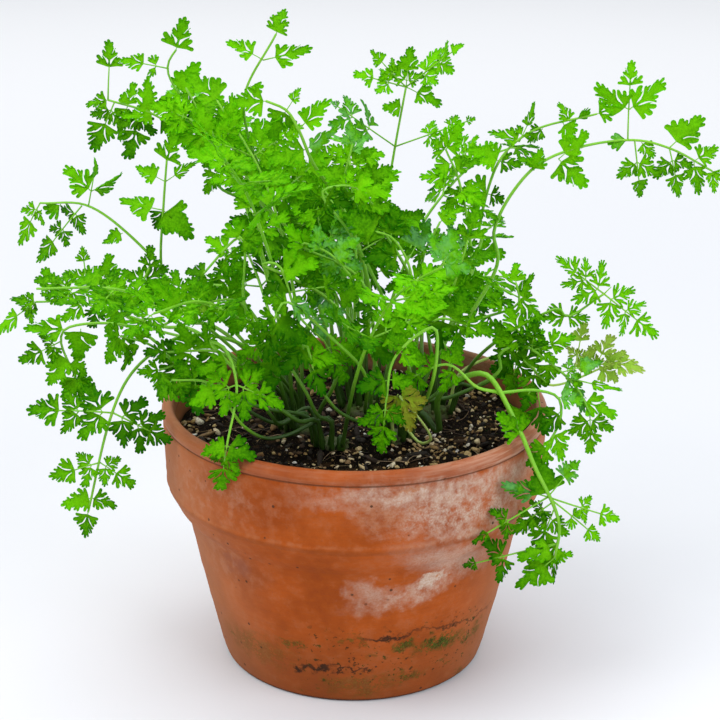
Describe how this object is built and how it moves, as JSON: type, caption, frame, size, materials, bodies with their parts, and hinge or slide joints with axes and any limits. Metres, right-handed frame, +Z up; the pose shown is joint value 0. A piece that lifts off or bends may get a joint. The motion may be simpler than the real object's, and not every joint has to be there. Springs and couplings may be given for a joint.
{
  "type": "potted herb",
  "caption": "Potted chervil: a bushy clump of ferny, finely divided green fronds arching out of dark potting mix in a weathered, banded-rim terracotta pot.",
  "frame": {"origin": "on the surface the pot stands on, at the centre of the drain hole, which is also the centre of the plant's overall width and depth to 2 mm", "axes": "+Z up out of the pot; -Y is the front, the side the clump is mostly seen from; +X is to the right seen from the front, along the widest spread of the foliage"},
  "size_m": [0.3045, 0.1915, 0.2667],
  "materials": {
    "terracotta": "matte",
    "potting_mix": "matte",
    "root_crown": "matte",
    "frond_green": "satin",
    "frond_pale": "satin",
    "frond_old": "satin"
  },
  "bodies": {
    "root": {"frond_centre_arch": "frond_green", "frond_centre_back_a": "frond_green", "frond_centre_bluish": "frond_green", "frond_centre_left": "frond_green", "frond_centre_low_a": "frond_green", "frond_centre_low_b": "frond_green", "frond_centre_low_c": "frond_green", "frond_centre_mid": "frond_green", "frond_centre_right": "frond_green", "frond_far_back": "frond_green", "frond_front_centre": "frond_green", "frond_front_left_drooping": "frond_green", "frond_front_over_rim": "frond_green", "frond_left_dark": "frond_green", "frond_left_hanging": "frond_green", "frond_left_mid_a": "frond_green", "frond_left_mid_b": "frond_green", "frond_left_outer": "frond_green", "frond_left_rim": "frond_green", "frond_left_second": "frond_green", "frond_left_up": "frond_green", "frond_low_left_a": "frond_green", "frond_low_left_b": "frond_green", "frond_mid_left": "frond_green", "frond_mid_right_a": "frond_green", "frond_mid_right_b": "frond_green", "frond_mid_right_c": "frond_green", "frond_mid_right_d": "frond_green", "frond_old_yellow": "frond_old", "frond_pale": "frond_pale", "frond_right_back_low": "frond_green", "frond_right_cluster": "frond_green", "frond_right_cluster_up": "frond_green", "frond_right_fine": "frond_green", "frond_right_long": "frond_green", "frond_right_rim": "frond_green", "frond_right_upper": "frond_green", "frond_top_centre": "frond_green", "frond_top_centre_left": "frond_green", "frond_top_left_a": "frond_green", "frond_top_left_b": "frond_green", "frond_top_left_c": "frond_green", "frond_top_mid_right": "frond_green", "frond_upper_left_arch": "frond_green", "frond_vertical_left": "frond_green", "pot": "terracotta", "root_crown_1": "root_crown", "root_crown_2": "root_crown", "root_crown_3": "root_crown", "root_crown_4": "root_crown", "root_crown_5": "root_crown", "shoot_back_1": "frond_green", "shoot_back_3": "frond_green", "shoot_back_4": "frond_green", "shoot_back_6": "frond_green", "shoot_inner_front": "frond_green", "shoot_inner_left": "frond_green", "shoot_left_back": "frond_green", "soil": "potting_mix", "stem_right_front": "frond_green"}
  },
  "joints": []
}
